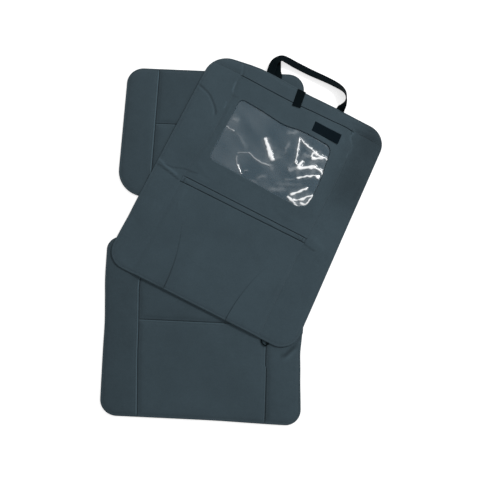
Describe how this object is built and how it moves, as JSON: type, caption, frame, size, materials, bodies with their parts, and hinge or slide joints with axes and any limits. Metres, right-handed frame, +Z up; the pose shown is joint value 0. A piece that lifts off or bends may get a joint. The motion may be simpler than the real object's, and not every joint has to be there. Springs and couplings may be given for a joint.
{
  "type": "car seat protector",
  "caption": "Padded fabric protectors for a car seat: a long cover for seat and back with a tablet-pocket cover laid across it, with clear window, strap and lower pocket.",
  "frame": {"origin": "middle of the seat cover's underside, on its neck", "axes": "+Y along the seat cover, from its seat part to its back part; +X to its right; +Z up out of the padded face"},
  "size_m": [0.6459, 0.878, 0.0217],
  "materials": {
    "seat_cover_fabric": "matt anthracite woven polyester",
    "tablet_cover_fabric": "matt anthracite woven polyester",
    "lining": "matt black non-slip lining",
    "clear_film": "clear glossy creased film",
    "webbing": "black woven webbing",
    "label": "plain black woven label"
  },
  "bodies": {
    "root": {"seat_cover_lining": "lining", "seat_cover_back_left_wing": "seat_cover_fabric", "seat_cover_back_right_wing": "seat_cover_fabric", "seat_cover_front_left_wing": "seat_cover_fabric", "seat_cover_front_right_wing": "seat_cover_fabric", "seat_cover_centre_top": "seat_cover_fabric", "seat_cover_centre_middle": "seat_cover_fabric", "seat_cover_centre_front": "seat_cover_fabric", "tablet_cover_back_panel": "tablet_cover_fabric", "tablet_cover_header": "tablet_cover_fabric", "tablet_pocket_panel": "tablet_cover_fabric", "tablet_pocket_window": "clear_film", "lower_pocket_hem": "tablet_cover_fabric", "lower_pocket_panel": "tablet_cover_fabric", "closing_tab": "webbing", "plain_label": "label", "tablet_mouth_bartack_left": "tablet_cover_fabric", "tablet_mouth_bartack_right": "tablet_cover_fabric", "hem_bartack_left": "tablet_cover_fabric", "hem_bartack_right": "tablet_cover_fabric", "elastic_loop": "webbing", "headrest_strap": "webbing", "headrest_strap_tail": "webbing"}
  },
  "joints": []
}
